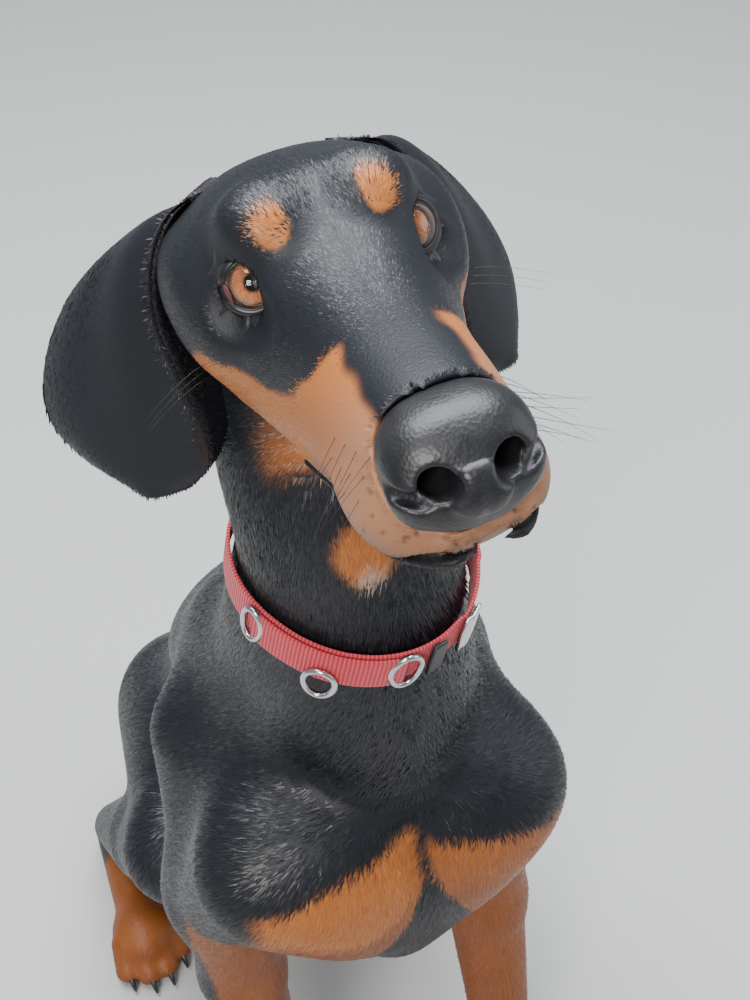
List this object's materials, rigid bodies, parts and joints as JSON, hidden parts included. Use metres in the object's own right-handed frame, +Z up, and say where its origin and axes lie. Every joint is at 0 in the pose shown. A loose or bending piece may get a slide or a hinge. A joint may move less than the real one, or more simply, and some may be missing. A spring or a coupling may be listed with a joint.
{
  "type": "doberman pinscher",
  "caption": "Life-size sitting doberman pinscher with natural drop ears, head raised and turned, wearing a flat webbing collar with metal rings.",
  "frame": {"origin": "on the floor, under the middle of the whole dog's box", "axes": "+Z up, the dog faces -Y, its left side is +X"},
  "size_m": [0.3161, 0.6528, 0.8909],
  "materials": {
    "coat": "short flat glossy fur, black with rust markings",
    "nose_leather": "moist pebbled black skin, also on the lids, lips and claws",
    "eye": "wet amber brown iris under a clear cornea",
    "webbing": "red woven nylon webbing",
    "ring_metal": "nickel plated wire, lightly worn",
    "keeper": "dark moulded plastic"
  },
  "bodies": {
    "root": {"head": "coat", "ear_left": "coat", "ear_right": "coat", "neck": "coat", "chest": "coat", "loin": "coat", "rump": "coat", "tail": "coat", "upper_arm_left": "coat", "upper_arm_right": "coat", "foreleg_left": "coat", "foreleg_right": "coat", "paw_left": "coat", "paw_right": "coat", "hind_leg_left": "coat", "hind_leg_right": "coat", "hind_foot_left": "coat", "hind_foot_right": "coat", "nose": "nose_leather", "eye_left": "eye", "eye_right": "eye", "collar_band": "webbing", "collar_loop": "webbing", "ring_left": "ring_metal", "ring_right": "ring_metal", "dee_ring": "ring_metal", "slide": "ring_metal", "keeper": "keeper"}
  },
  "joints": []
}
